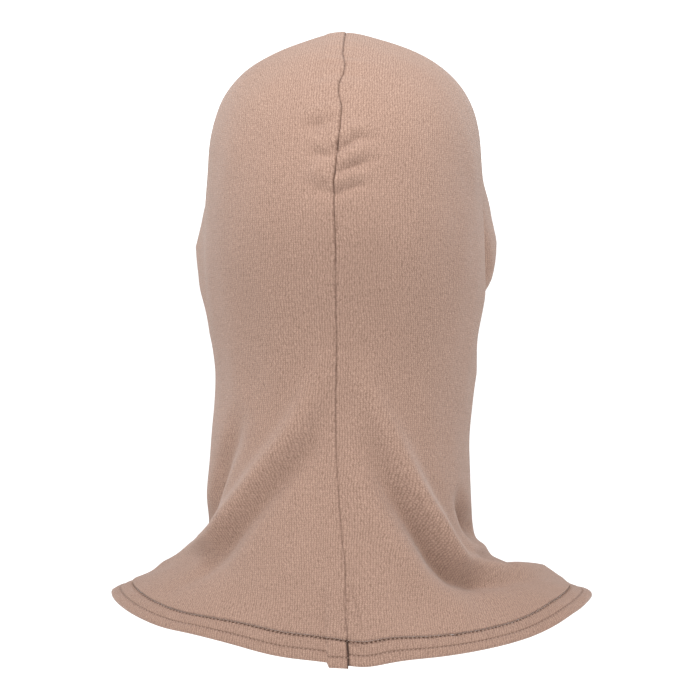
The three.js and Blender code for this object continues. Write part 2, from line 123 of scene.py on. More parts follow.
# Folds: lift, spread, then path points of turn, level and strength
FOLDS = (
    # ridge from the nape to the left shoulder, with a hollow on each side
    (0.65, 0.36, (
        (5, 0.575, 0.2), (11, 0.616, 0.6), (17.5, 0.66, 1), (25.5, 0.698, 1), (37.5, 0.752, 1),
        (48.5, 0.802, 1), (62.5, 0.86, 1), (73, 0.89, 0.9), (85, 0.925, 0.7), (96, 0.96, 0.45),
    )),
    (-0.45, 0.38, (
        (6, 0.62, 0), (13, 0.696, 0.7), (24.5, 0.736, 1), (35.5, 0.786, 1), (49, 0.852, 1),
        (60, 0.916, 0.8), (62, 0.96, 0.2),
    )),
    (-0.6, 0.4, (
        (45, 0.63, 0), (53.5, 0.692, 0.7), (62, 0.745, 1), (69, 0.8, 1), (75, 0.84, 0.8),
        (88, 0.875, 0.3),
    )),
    # two ridges from the nape to the right shoulder, with the deep fold between them
    (0.95, 0.34, (
        (-10, 0.585, 0.1), (-16, 0.63, 0.35), (-24, 0.681, 0.6), (-32.5, 0.745, 0.8),
        (-38, 0.78, 0.9), (-45.5, 0.821, 1), (-53, 0.866, 1), (-60.5, 0.91, 1), (-70, 0.94, 0.8),
        (-80, 0.955, 0.5), (-90, 0.965, 0.55), (-100, 0.975, 0.6), (-106, 0.985, 0.3),
    )),
    (-0.75, 0.38, (
        (-10, 0.66, 0), (-16.5, 0.712, 0.4), (-22.5, 0.753, 0.6), (-30, 0.79, 0.8),
        (-39, 0.836, 1), (-46.5, 0.88, 1.1), (-53.5, 0.912, 1.1), (-61, 0.937, 1),
        (-70, 0.955, 0.5), (-80, 0.966, 0.1),
    )),
    (0.25, 0.45, (
        (-4, 0.68, 0), (-11, 0.745, 0.7), (-16.5, 0.797, 1), (-25, 0.838, 1), (-34, 0.88, 1),
        (-40, 0.925, 1), (-44, 0.955, 0.7),
    )),
    # hollow of the neck over the right shoulder, and the cloth piled below it
    (-1, 0.36, (
        (-64, 0.775, 0), (-69, 0.81, 0.5), (-74, 0.838, 1), (-79, 0.858, 1.1), (-86, 0.87, 0.5),
    )),
    (0.4, 0.3, (
        (-64, 0.886, 0.3), (-72, 0.902, 0.8), (-82, 0.914, 1), (-92, 0.922, 0.7), (-99, 0.927, 0),
    )),
    # soft folds from the chin over the collar bones
    (0.3, 0.8, ((150, 0.7, 0), (146, 0.82, 1), (140, 0.98, 0.8))),
    (0.3, 0.8, ((-152, 0.7, 0), (-147, 0.82, 1), (-140, 0.98, 0.8))),
    (-0.3, 0.8, ((164, 0.72, 0), (163, 0.84, 1), (160, 0.98, 0.6))),
    (-0.3, 0.8, ((-165, 0.72, 0), (-164, 0.84, 1), (-161, 0.98, 0.6))),
)
# The cloth over the ears, in the same form
EARS = (
    # the ears
    (0.9, 1, ((97, 0.385, 0.7), (95, 0.42, 1), (93, 0.46, 0.6))),
    (1, 1, ((-100, 0.37, 0.7), (-99, 0.41, 1), (-97, 0.455, 0.8))),
    # the cloth over the jaw below them
    (0.25, 1.2, ((98, 0.49, 0.6), (98, 0.54, 1), (97, 0.6, 0))),
    (-0.45, 1.1, ((-98, 0.49, 1), (-97, 0.54, 1), (-96, 0.6, 0))),
    # crease behind the right ear
    (-0.5, 0.32, ((-82, 0.36, 0.3), (-83, 0.41, 1), (-87, 0.46, 1), (-94, 0.49, 0.6))),
)
# Gathers beside the back seam, in the same form
GATHERS = (
    # left of the back seam, ridge and hollow in turn
    (1, 1, ((1, 0.224, 0.6), (9, 0.229, 1), (16, 0.237, 0))),
    (-1, 1, ((2, 0.241, 0.6), (8, 0.246, 1), (15, 0.253, 0))),
    (1, 1, ((1, 0.274, 0.7), (7, 0.27, 1), (13, 0.269, 0))),
    (-0.9, 1, ((1, 0.29, 0.6), (6, 0.287, 1), (12, 0.286, 0))),
    (1, 1.3, ((1, 0.313, 0.7), (7, 0.31, 1), (12, 0.309, 0))),
    (-0.8, 1.3, ((2, 0.338, 1), (6, 0.334, 1), (10, 0.33, 0))),
    # right of the back seam
    (1, 1, ((-0.5, 0.266, 0.5), (-6, 0.253, 1), (-16, 0.251, 0.2))),
    (-1.2, 1, ((-0.5, 0.28, 1), (-8, 0.263, 1), (-18, 0.266, 0))),
    (1.2, 1, ((-1, 0.296, 0.8), (-8, 0.284, 1), (-17, 0.277, 0))),
    (-1.2, 1, ((-1, 0.311, 1), (-8, 0.3, 1), (-16, 0.289, 0))),
    (1.1, 1, ((-1, 0.321, 0.8), (-6, 0.314, 1), (-15, 0.31, 0))),
    (-1, 1, ((-0.5, 0.337, 1), (-6, 0.33, 1), (-15, 0.324, 0))),
    # skirt beside the seam, above the hem
    (-1, 0.8, ((5, 0.89, 0), (4.5, 0.912, 1), (4, 0.936, 1), (3, 0.965, 0.8))),
    (0.6, 0.7, ((2, 0.9, 0), (1.8, 0.93, 1), (1.5, 0.965, 1))),
    (-0.9, 0.45, ((-5.5, 0.885, 0), (-6.5, 0.902, 1), (-8.5, 0.936, 1), (-8, 0.958, 0.6))),
    # over the crown
    (0.6, 1, ((1, 0.13, 0.6), (8, 0.133, 1), (18, 0.14, 0))),
    (-0.6, 1, ((1, 0.165, 0.6), (8, 0.17, 1), (17, 0.175, 0))),
    (0.6, 1, ((-1, 0.14, 0.6), (-8, 0.138, 1), (-20, 0.14, 0))),
    (-0.6, 1, ((-1, 0.17, 0.6), (-8, 0.168, 1), (-18, 0.17, 0))),
)
# Fine creases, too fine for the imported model
CREASE_LIFT = 0.7
CREASE_SPREAD = 1.5
CREASES = (
    # bottoms of the gathers, right of the back seam
    (-1, 1.1, ((-1, 0.282, 1), (-8, 0.265, 1), (-16, 0.266, 0))),
    (-1, 1.1, ((-1, 0.312, 1), (-8, 0.301, 1), (-15, 0.291, 0))),
    (-1, 1, ((-1, 0.338, 1), (-6, 0.331, 1), (-12, 0.326, 0))),
    # left of it
    (-0.8, 1.2, ((2, 0.242, 1), (8, 0.247, 0.8), (14, 0.253, 0))),
    (-0.7, 1.2, ((1, 0.29, 1), (6, 0.287, 1), (11, 0.286, 0))),
    (-0.8, 1.2, ((1, 0.339, 1), (6, 0.334, 1), (10, 0.33, 0))),
    # skirt beside the seam
    (-0.9, 0.9, ((-1.6, 0.9, 0), (-2.7, 0.93, 1), (-4, 0.962, 1))),
    # pinches in the hem
    (-1, 0.6, ((-3.4, 0.968, 0.3), (-5.5, 0.976, 1), (-7.8, 0.988, 0.2))),
    (0.7, 0.7, ((-4.6, 0.968, 0.3), (-6.8, 0.976, 1), (-9, 0.986, 0))),
    (-1, 0.6, ((-31, 0.97, 0.3), (-33, 0.978, 1), (-35.5, 0.99, 0))),
    (-0.8, 0.6, ((-24, 0.972, 0), (-27, 0.98, 1), (-29, 0.986, 0))),
)


def ring_sizes():
    """One row a ring: drop at back, side and front, half width left and right, back, front, egg."""
    top = CLOTH + HEAD_RINGS[1][0] * HEAD_HEIGHT / 3
    half = HEAD_WIDTH / 2
    rings = []
    for drop, wide, back, front, egg in HEAD_RINGS:
        z = top - drop * HEAD_HEIGHT
        rings.append((z, z, z, wide * half, wide * half, back * HEAD_BACK, front * HEAD_FRONT, egg))
    nape = top - HEAD_HEIGHT
    flare = (HEM_WIDTH - NECK_WIDTH) / 2
    for drop, left, right, back, front in SKIRT_RINGS:
        rings.append((
            nape - drop * SKIRT_BACK,
            nape - drop * SKIRT_SIDE,
            nape - drop * SKIRT_FRONT,
            NECK_WIDTH / 2 + left * flare,
            NECK_WIDTH / 2 + right * flare,
            NECK_BACK + back * (HEM_BACK - NECK_BACK),
            THROAT + front * (HEM_FRONT - THROAT),
            0.0,
        ))
    rings = np.array(rings)
    near = rings[1]
    mirrored = (near[2], near[1], near[0], -near[4], -near[3], -near[6], -near[5], -near[7])
    beyond = 2 * rings[-1] - rings[-2]
    return np.vstack([mirrored, rings, beyond])


RINGS = ring_sizes()


def rings_at(level):
    """Sizes at levels from crown (0) to hem (1), smoothed from the guide rings by a cubic B-spline."""
    spans = len(RINGS) - 3
    t = np.maximum(level, 0) * spans
    first = np.minimum(t.astype(int), spans - 1)
    f = (t - first)[..., None]
    weights = (
        (1 - f) ** 3 / 6,
        (3 * f**3 - 6 * f**2 + 4) / 6,
        (-3 * f**3 + 3 * f**2 + 3 * f + 1) / 6,
        f**3 / 6,
    )
    return sum(w * RINGS[first + k] for k, w in enumerate(weights))


def spots_at(turn_degrees, level):
    """Chart points: the level is the distance from the middle, the turn runs from the back."""
    turn = np.radians(turn_degrees)
    return np.stack([level * np.sin(turn), level * np.cos(turn)], -1)


RISE_FROM = 0.72  # level where the hem's rise and fall begins


def base_points(spots):
    """The bare head and skirt form, without folds."""
    level = np.hypot(spots[..., 0], spots[..., 1])
    turn = np.arctan2(spots[..., 0], spots[..., 1])
    z_back, z_side, z_front, left, right, back, front, egg = np.moveaxis(rings_at(level), -1, 0)
    cos = np.cos(turn)
    sin = np.sin(turn)
    half = right + (left - right) * (1 + sin) / 2
    fade = np.maximum((level - RISE_FROM) / (1 - RISE_FROM), 0) ** 2
    z = z_side + np.where(cos > 0, z_back - z_side, z_front - z_side) * cos**2
    for row_turn, spread, rise in HEM_RISES:
        z = z + HEM_SAG * rise * fade * np.exp(-(((np.degrees(turn) - row_turn) / spread) ** 2))
    x = half * sin * (1 + egg * cos)
    y = (back - front) / 2 + (back + front) / 2 * cos
    return np.stack([x, y, z], -1)


def base_normals(spots):
    step = 0.003
    east = base_points(spots + (step, 0)) - base_points(spots - (step, 0))
    north = base_points(spots + (0, step)) - base_points(spots - (0, step))
    normal = np.cross(east, north)
    return normal / np.linalg.norm(normal, axis=-1, keepdims=True)


PATH_STEPS = 5  # steps of a fold's path between two of its points


def laid_paths(rows, lift, spread):
    """Fold rows as 3-D paths on the bare form, with their lift and spread in millimetres."""
    laid = []
    for row_lift, row_spread, path in rows:
        path = np.array(path, float)
        at = np.linspace(0, len(path) - 1, PATH_STEPS * (len(path) - 1) + 1)
        mixed = np.stack([np.interp(at, np.arange(len(path)), path[:, k]) for k in range(3)], -1)
        line = base_points(spots_at(mixed[:, 0], mixed[:, 1]))
        laid.append((row_lift * lift, row_spread * spread, line, mixed[:, 2]))
    return laid


LAID = laid_paths(FOLDS, FOLD_LIFT, FOLD_SPREAD)
LAID += laid_paths(EARS, EAR_LIFT, EAR_SPREAD)
LAID += laid_paths(GATHERS, GATHER_LIFT, GATHER_SPREAD)
LAID += laid_paths(CREASES, CREASE_LIFT, CREASE_SPREAD)


FOLD_REACH = 3  # spreads from its path where a fold has died out


def lifts_at(points):
    """Lift of all folds together at points of the bare form."""
    flat = points.reshape(-1, 3)
    total = np.zeros(len(flat))
    for lift, spread, line, strength in LAID:
        low = line.min(0) - FOLD_REACH * spread
        high = line.max(0) + FOLD_REACH * spread
        near = np.flatnonzero(np.all((flat > low) & (flat < high), axis=1))
        best = np.full(len(near), np.inf)
        found = np.zeros(len(near))
        for a, b, sa, sb in zip(line[:-1], line[1:], strength[:-1], strength[1:]):
            t = np.clip((flat[near] - a) @ (b - a) / ((b - a) @ (b - a)), 0, 1)
            distance = np.linalg.norm(flat[near] - a - t[:, None] * (b - a), axis=1)
            closer = distance < best
            best = np.where(closer, distance, best)
            found = np.where(closer, sa + (sb - sa) * t, found)
        total[near] += lift * found * np.exp(-((best / spread) ** 2))
    return total.reshape(points.shape[:-1])


FACE_LEVELS = (0.02, 0.95)  # levels between which the face opening lies
HALVINGS = 30


def face_spots(side, share):
    """Chart points of the face opening's edge, from the brow (0) to under the chin (1)."""
    x = side * FACE_WIDTH * np.sin(np.pi * share) / 2
    z = CLOTH - FACE_DROP - FACE_HEIGHT * (1 - np.cos(np.pi * share)) / 2
    low = np.full(share.shape, FACE_LEVELS[0])
    high = np.full(share.shape, FACE_LEVELS[1])
    for _ in range(HALVINGS):
        level = (low + high) / 2
        half = rings_at(level)[..., 3 if side > 0 else 4]
        spots = spots_at(180 - np.degrees(np.arcsin(np.clip(x / half, -1, 1))), level)
        above = base_points(spots)[..., 2] > z
        low = np.where(above, level, low)
        high = np.where(above, high, level)
    return spots


EDGE_SHARES = np.linspace(0, 1, 721)
FACE_EDGES = {side: face_spots(side, EDGE_SHARES) for side in (1, -1)}
EVEN_TURN = 0.62  # how evenly the columns are spread round the hem, the rest lie closer at the back


def panel_spots(side, down, round_share):
    """Chart points between face edge (0) and hem (1), from the back seam (0) to the front seam (1)."""
    hem_turn = side * 180 * (EVEN_TURN * round_share + (1 - EVEN_TURN) * round_share**2)
    face = np.stack([np.interp(round_share, EDGE_SHARES, FACE_EDGES[side][:, k]) for k in (0, 1)], -1)
    spots = (1 - down) * face + down * spots_at(hem_turn, np.ones_like(hem_turn))
    level = np.minimum(np.hypot(spots[:, 0], spots[:, 1]), 1)
    levels, shares = np.array(SEAM_STRAYS, float).T
    after = np.clip(np.searchsorted(levels, level), 1, len(levels) - 1)
    t = (level - levels[after - 1]) / (levels[after] - levels[after - 1])
    stray = shares[after - 1] + (shares[after] - shares[after - 1]) * t**2 * (3 - 2 * t)
    shift = SEAM_DRIFT * stray * level / rings_at(level)[:, 3] * np.exp(-((spots[:, 0] / DRIFT_REACH) ** 2))
    spots[:, 0] += np.where(spots[:, 1] > 0, shift, 0)
    return spots


def allowance_share(side, down, round_share):
    """Share of a panel's width that the allowance takes, at its back seam (0) or front seam (1)."""
    step = 0.01
    ends = np.array([round_share, round_share + (step if round_share == 0 else -step)])
    seam, inward = base_points(panel_spots(side, down, ends))
    return SEAM_ALLOWANCE * step / np.linalg.norm(inward - seam)


MEASURE_STEPS = 110


def columns(side, back_offsets, middle, front_offsets):
    """Chart lines from face edge to hem and the lengths down them.

    Offsets are millimetres from a seam, and middle is how many lines lie between them.
    """
    spots = []
    for down in np.linspace(0, 1, MEASURE_STEPS + 1):
        back = allowance_share(side, down, 0)
        front = allowance_share(side, down, 1)
        shares = np.concatenate([
            np.array(back_offsets) / SEAM_ALLOWANCE * back,
            back + (1 - front - back) * np.linspace(0, 1, middle + 2)[1:-1],
            1 - np.array(front_offsets[::-1]) / SEAM_ALLOWANCE * front,
        ])
        spots.append(panel_spots(side, down, shares))
    spots = np.array(spots)
    points = base_points(spots)
    steps = np.linalg.norm(np.diff(points, axis=0), axis=-1)
    lengths = np.vstack([np.zeros(spots.shape[1]), np.cumsum(steps, axis=0)])
    return spots, lengths


def cloth_grid(lines, distances):
    """Chart points of rows at given distances down each column. distances: rows by columns."""
    spots, lengths = lines
    grid = np.empty(distances.shape + (2,))
    for c in range(distances.shape[1]):
        for axis in (0, 1):
            grid[:, c, axis] = np.interp(distances[:, c], lengths[:, c], spots[:, c, axis])
    return grid


MAP_LEVELS = 100
MAP_TURNS = 240
LAST_CELL = 0.001  # keeps the edge of the map inside its last cell


def knit_lengths(spots):
    """How far chart points are round from the back and down from the crown, on the bare form."""
    levels = np.linspace(0, 1, MAP_LEVELS + 1)
    turns = np.linspace(-180, 180, MAP_TURNS + 1)
    points = base_points(spots_at(turns, levels[:, None]))
    steps_round = np.linalg.norm(np.diff(points, axis=1), axis=-1)
    steps_down = np.linalg.norm(np.diff(points, axis=0), axis=-1)
    round_lengths = np.pad(np.cumsum(steps_round, axis=1), ((0, 0), (1, 0)))
    at_back = MAP_TURNS // 2
    round_lengths -= round_lengths[:, at_back:at_back + 1]
    down_lengths = np.pad(np.cumsum(steps_down, axis=0), ((1, 0), (0, 0)))
    lengths = np.stack([round_lengths, -down_lengths], -1)
    level = np.hypot(spots[..., 0], spots[..., 1])
    turn = np.degrees(np.arctan2(spots[..., 0], spots[..., 1]))
    row = np.clip(level * MAP_LEVELS, 0, MAP_LEVELS - LAST_CELL)
    column = np.clip((turn + 180) / 360 * MAP_TURNS, 0, MAP_TURNS - LAST_CELL)
    r = row.astype(int)
    c = column.astype(int)
    a = (row - r)[..., None]
    b = (column - c)[..., None]
    upper = (1 - b) * lengths[r, c] + b * lengths[r, c + 1]
    lower = (1 - b) * lengths[r + 1, c] + b * lengths[r + 1, c + 1]
    return (1 - a) * upper + a * lower


def grid_normals(points):
    down = np.gradient(points, axis=0)
    across = np.gradient(points, axis=1)
    normal = np.cross(down, across)
    return normal / np.linalg.norm(normal, axis=-1, keepdims=True)


def smooth_step(value, start, end):
    t = np.clip((value - start) / (end - start), 0, 1)
    return t * t * (3 - 2 * t)


def unevenness(points, size, seed):
    """Gentle unevenness from a few crossing waves, between about -1 and 1."""
    draw = np.random.default_rng(seed)
    total = np.zeros(points.shape[:-1])
    for _ in range(7):
        direction = draw.normal(size=3)
        direction /= np.linalg.norm(direction)
        wave = size * draw.uniform(0.7, 1.4)
        total += np.sin(points @ direction * 2 * np.pi / wave + draw.uniform(0, 2 * np.pi))
    return total / 4


UNEVEN_LIFT = 0.3
UNEVEN_SIZE = 26.0
UNEVEN_SEED = 3


def cloth_lift(bare):
    """Lift of the cloth over the bare form: its folds, and a slight unevenness all over."""
    return lifts_at(bare) + UNEVEN_LIFT * unevenness(bare, UNEVEN_SIZE, UNEVEN_SEED)


METRE = 0.001  # one millimetre of this script in the scene's metres


def mesh_object(name, points, faces, uv=None, painted_shade=None, rims=0):
    """A mesh object in metres, smooth but for its last faces, the rims."""
    mesh = bpy.data.meshes.new(name)
    mesh.from_pydata((points * METRE).tolist(), [], faces.tolist())
    mesh.polygons.foreach_set("use_smooth", np.arange(len(faces)) < len(faces) - rims)
    if uv is not None:
        layer = mesh.uv_layers.new(name="cloth_map")
        layer.uv.foreach_set("vector", uv[faces.ravel()].ravel().astype(np.float32))
    # Painted shade of seam grooves, stitch grooves and needle holes, kept as a point attribute.
    if painted_shade is not None:
        attribute = mesh.attributes.new("painted_shade", "FLOAT", "POINT")
        attribute.data.foreach_set("value", painted_shade.astype(np.float32))
    mesh.update()
    piece = bpy.data.objects.new(name, mesh)
    bpy.context.collection.objects.link(piece)
    return piece


def grid_faces(ids):
    return np.stack([ids[:-1, :-1], ids[1:, :-1], ids[1:, 1:], ids[:-1, 1:]], -1).reshape(-1, 4)


def closed_wall(name, outer, inner, uv, painted_shade, flip):
    """A closed wall from two grids of points of the same size."""
    rows, across = outer.shape[:2]
    ids = np.arange(rows * across).reshape(rows, across)
    back = ids + rows * across
    rim = np.concatenate([ids[0, :-1], ids[:-1, -1], ids[-1, :0:-1], ids[:0:-1, 0]])
    rim_back = rim + rows * across
    edge = np.stack([rim, np.roll(rim, -1), np.roll(rim_back, -1), rim_back], -1)
    faces = np.concatenate([grid_faces(ids), grid_faces(back)[:, ::-1], edge])
    if flip:
        faces = faces[:, ::-1]
    points = np.concatenate([outer.reshape(-1, 3), inner.reshape(-1, 3)])
    uv = np.concatenate([uv, uv]).reshape(-1, 2)
    painted_shade = np.concatenate([painted_shade, painted_shade]).ravel()
    return mesh_object(name, points, faces, uv, painted_shade, len(edge))


def across_lengths(points):
    steps = np.linalg.norm(np.diff(points, axis=1), axis=-1)
    return np.hstack([np.zeros((len(points), 1)), np.cumsum(steps, axis=1)])


PANEL_ROWS = 300
PANEL_MIDDLE = 112
BACK_OFFSETS = (0.0, 0.35, 0.7, 1.1, 1.6, 2.2, 3.0, 4.0, 5.2, 6.5, 8.0, 9.0, 10.0, 11.0)
FRONT_OFFSETS = (0.0, 0.5, 1.0, 1.8, 3.0, 5.0, 8.0, 11.0)
SEAM_ROLL = 0.9  # how deep the cloth rolls in at a seam
SEAM_ROLL_WIDTH = 0.7
ALLOWANCE_RISE = 0.5  # the pressed allowance shows through on the wearer's left
ALLOWANCE_EDGE = (8.6, 11.5)  # from the seam, where that rise falls off
PUCKER = 0.18
PUCKER_LENGTH = 8.5
PUCKER_WANDER = 1.7  # how far the puckers shift along the seam, in radians
PUCKER_WANDER_LENGTH = 17.0
PUCKER_REACH = 5.0
BUTT = 0.02  # how near panel and hem lie


def seam_form(side, across, down, front_across):
    """Rise of the cloth near the seams: it rolls in, puckers, and lies proud over the allowance."""
    rise = -SEAM_ROLL * np.exp(-((across / SEAM_ROLL_WIDTH) ** 2))
    rise -= SEAM_ROLL * np.exp(-((front_across / SEAM_ROLL_WIDTH) ** 2))
    shift = PUCKER_WANDER * np.sin(down / PUCKER_WANDER_LENGTH)
    pucker = np.sin(2 * np.pi * down / PUCKER_LENGTH + shift)
    rise += PUCKER * pucker * np.exp(-across / PUCKER_REACH) * smooth_step(across, 0, 1.5)
    if side > 0:
        rise += ALLOWANCE_RISE * (1 - smooth_step(across, *ALLOWANCE_EDGE))
        rise += ALLOWANCE_RISE * (1 - smooth_step(front_across, *ALLOWANCE_EDGE))
    return rise


# Painted shade: the seam's groove is darkened in the cloth's colour, more where it is gathered and in the
# hem.
SEAM_SHADE = 1.05  # darkness in the groove of a seam
GATHER_SHADE = 1.0  # more of it at the gathers
GATHER_FROM_HEM = (200, 240)
BAND_SHADE = 0.3  # and more of it in the hem
BAND_FROM_HEM = (12, 15)
SEAM_SHADE_WIDTH = 0.6


def painted_seam_shade(across, front_across, from_hem):
    """How strong the painted shade in the seam's groove is: most where it is gathered at the back of the
    head, and in the hem.
    """
    strength = SEAM_SHADE + GATHER_SHADE * smooth_step(from_hem, *GATHER_FROM_HEM)
    strength += BAND_SHADE * (1 - smooth_step(from_hem, *BAND_FROM_HEM))
    back = np.exp(-((across / SEAM_SHADE_WIDTH) ** 2))
    front = np.exp(-((front_across / SEAM_SHADE_WIDTH) ** 2))
    return strength * (back + front)


def make_panel(name, side):
    lines = columns(side, BACK_OFFSETS, PANEL_MIDDLE, FRONT_OFFSETS)
    full = lines[1][-1]
    share = np.linspace(0, 1, PANEL_ROWS + 1)[:, None]
    distances = FACE_BAND + BUTT / 2 + share * (full - HEM_BAND - FACE_BAND - BUTT)
    spots = cloth_grid(lines, distances)
    bare = base_points(spots)
    normals = base_normals(spots)
    across = across_lengths(bare)
    front_across = across[:, -1:] - across
    rise = cloth_lift(bare)
    rise += seam_form(side, across, full - distances, front_across)
    outer = bare + normals * rise[..., None]
    if side < 0:
        turned = -grid_normals(outer)
    else:
        turned = grid_normals(outer)
    inner = outer - turned * CLOTH
    uv = knit_lengths(spots)
    # Painted shade of the seam grooves goes into the cloth's colour.
    painted_shade = painted_seam_shade(across, front_across, full - distances)
    return closed_wall(name, outer, inner, uv, painted_shade, side < 0)


left_cloth = make_panel("left_cloth", 1)
right_cloth = make_panel("right_cloth", -1)


def add_node(tree, kind, inputs=None, **settings):
    node = tree.nodes.new(kind)
    for key, value in settings.items():
        setattr(node, key, value)
    for key, value in (inputs or {}).items():
        if isinstance(value, bpy.types.NodeSocket):
            tree.links.new(value, node.inputs[key])
        else:
            node.inputs[key].default_value = value
    return node


def sums(tree, operation, a, b=0.0):
    return add_node(tree, "ShaderNodeMath", {0: a, 1: b}, operation=operation).outputs[0]


WALE = 1.4  # from one column of loops to the next
COURSE = 1.15  # from one loop to the next in a column
KNIT_DRIFT = 5.0  # loops by which the knit wanders slowly
KNIT_JITTER = 1.6  # loops by which it wanders from stitch to stitch
LOOP_SLANT = 1.3  # how steep the two arms of a loop are
RIB_HEIGHT = 0.25
LOOP_HEIGHT = 0.5
STROKE_HEIGHT = 0.6
FIBRE_HEIGHT = 0.5
# Painted shade: the loops' height also sets the colour, darker in the hollows between wales and loops,
# lighter on their crests.
HEIGHT_SHADE = 0.75  # how much of the height shows as light and dark
CLOUD_SHADE = 0.1
# Colour that the painted shade of grooves and needle holes mixes towards.
PAINTED_SHADE_COLOUR = (0.07, 0.03, 0.017)


def knit_material(name, light, dark):
    """Fine jersey: columns of V-shaped loops, with painted shade between the wales and in the grooves and
    needle holes of the stitching.
    """
    material = bpy.data.materials.new(name)
    material.use_nodes = True
    tree = material.node_tree
    tree.nodes.clear()
    cloth_map = add_node(tree, "ShaderNodeUVMap", uv_map="cloth_map").outputs[0]
    place = add_node(tree, "ShaderNodeTexCoord").outputs["Object"]
    drift = add_node(tree, "ShaderNodeTexNoise", {"Vector": place, "Scale": 22.0}).outputs["Fac"]
    jitter = add_node(tree, "ShaderNodeTexNoise", {"Vector": place, "Scale": 520.0}).outputs["Fac"]
    parts = add_node(tree, "ShaderNodeSeparateXYZ", {0: cloth_map})
    drifted = sums(tree, "MULTIPLY", sums(tree, "SUBTRACT", drift, 0.5), KNIT_DRIFT)
    jittered = sums(tree, "MULTIPLY", sums(tree, "SUBTRACT", jitter, 0.5), KNIT_JITTER)
    drifted = sums(tree, "ADD", drifted, jittered)
    column = sums(tree, "ADD", sums(tree, "DIVIDE", parts.outputs[0], WALE), drifted)
    row = sums(tree, "ADD", sums(tree, "DIVIDE", parts.outputs[1], COURSE), drifted)
    off_middle = sums(tree, "ABSOLUTE", sums(tree, "SUBTRACT", sums(tree, "FRACT", column), 0.5))
    rib = sums(tree, "COSINE", sums(tree, "MULTIPLY", off_middle, math.pi))
    slant = sums(tree, "ADD", row, sums(tree, "MULTIPLY", off_middle, LOOP_SLANT))
    loop = sums(tree, "COSINE", sums(tree, "MULTIPLY", slant, 2 * math.pi))
    loop = sums(tree, "MULTIPLY", sums(tree, "ADD", sums(tree, "MULTIPLY", loop, 0.5), 0.5), rib)
    rib_part = sums(tree, "MULTIPLY", rib, RIB_HEIGHT)
    height = sums(tree, "ADD", rib_part, sums(tree, "MULTIPLY", loop, LOOP_HEIGHT))
    strokes = add_node(tree, "ShaderNodeCombineXYZ", {0: column, 1: sums(tree, "MULTIPLY", slant, 0.5)})
    strokes = strokes.outputs[0]
    stroke = add_node(tree, "ShaderNodeTexNoise", {"Vector": strokes, "Scale": 1.4, "Detail": 0.0})
    uneven_stroke = sums(tree, "SUBTRACT", stroke.outputs["Fac"], 0.5)
    height = sums(tree, "ADD", height, sums(tree, "MULTIPLY", uneven_stroke, STROKE_HEIGHT))
    fibre = add_node(tree, "ShaderNodeTexNoise", {"Vector": place, "Scale": 1100.0, "Detail": 3.0})
    fibre_part = sums(tree, "MULTIPLY", fibre.outputs["Fac"], FIBRE_HEIGHT)
    height = sums(tree, "ADD", height, fibre_part)
    cloud = add_node(tree, "ShaderNodeTexNoise", {"Vector": place, "Scale": 28.0, "Detail": 4.0})
    # Painted shade from the loops' height, plus a cloud of tone that differs at random.
    shade = sums(tree, "MULTIPLY", height, HEIGHT_SHADE)
    uneven = sums(tree, "SUBTRACT", cloud.outputs["Fac"], 0.5)
    shade = sums(tree, "ADD", shade, sums(tree, "MULTIPLY", uneven, CLOUD_SHADE))
    ramp = add_node(tree, "ShaderNodeValToRGB", {"Fac": shade})
    ramp.color_ramp.elements[0].position = 0.1
    ramp.color_ramp.elements[0].color = (*dark, 1)
    ramp.color_ramp.elements[1].position = 0.85
    ramp.color_ramp.elements[1].color = (*light, 1)
    # Painted shade: the attribute darkens the colour in seam grooves, stitch grooves and needle holes.
    painted_shade = add_node(tree, "ShaderNodeAttribute", attribute_name="painted_shade").outputs["Fac"]
    painted_shade = add_node(tree, "ShaderNodeClamp", {"Value": painted_shade}).outputs[0]
    colour = add_node(
        tree, "ShaderNodeMix", {"Factor": painted_shade, "A": ramp.outputs[0], "B": (*PAINTED_SHADE_COLOUR, 1)},
        data_type="RGBA",
    ).outputs["Result"]
    bump = add_node(tree, "ShaderNodeBump", {"Height": height, "Strength": 0.5, "Distance": 0.0004})
    shader = add_node(tree, "ShaderNodeBsdfPrincipled", {
        "Base Color": colour,
        "Roughness": 0.92,
        "Sheen Weight": 0.18,
        "Sheen Roughness": 0.5,
        "Specular IOR Level": 0.2,
        "Normal": bump.outputs[0],
    })
    add_node(tree, "ShaderNodeOutputMaterial", {0: shader.outputs[0]})
    return material


# First colour for the loops' crests, second for the painted shade in their hollows.
panel_knit = knit_material("beige_jersey", (0.4, 0.263, 0.203), (0.194, 0.117, 0.086))
for piece, node in ((left_cloth, "left_panel"), (right_cloth, "right_panel")):
    piece.data.materials.append(panel_knit)
    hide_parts(node)
    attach(piece, "root")

# The lower hem, in two halves
# The edge of each panel is turned up inside once and held by two rows of stitching. At the back seam
# the turned allowance makes a thicker tab that hangs a little lower.
TAB_DROP = 2.8
TAB_RISE = 0.7
UPPER_ROW = 0.7  # from the top of the band
LOWER_ROW = 7.6
STITCH_PITCH = 2.35
FOLD_STEPS = 7
FINE_STEP = 0.25  # between points of the section, at its top and at its lower row
COARSE_STEP = 0.6
FINE_FROM_TOP = 3.0


def band_section(width, thickness, fine_row):
    """Closed section of a turned band: distance from its top and depth under the outer face."""
    radius = thickness / 2
    flat = width - radius
    outer = np.unique(np.round(np.concatenate([
        np.arange(0, FINE_FROM_TOP, FINE_STEP),
        np.arange(FINE_FROM_TOP, flat, COARSE_STEP),
        np.arange(fine_row - 1, fine_row + 1, FINE_STEP),
        [flat],
    ]), 3))
    turn = np.linspace(0, math.pi, FOLD_STEPS + 2)[1:-1]
    back = np.linspace(flat, 0, len(outer) + FOLD_STEPS % 2)
    along = np.concatenate([outer, flat + radius * np.sin(turn), back])
    depth = np.concatenate([0 * outer, radius * (1 - np.cos(turn)), 0 * back + thickness])
    return along, depth


def end_cap(section, turned):
    """Faces that close an end of a band, each from the outer half of its section to the inner."""
    half = len(section) // 2
    back = section[::-1]
    corners = [section[:half - 1], back[:half - 1], back[1:half], section[1:half]]
    if turned:
        corners = [corners[0], *corners[:0:-1]]
    return np.stack(corners, -1)


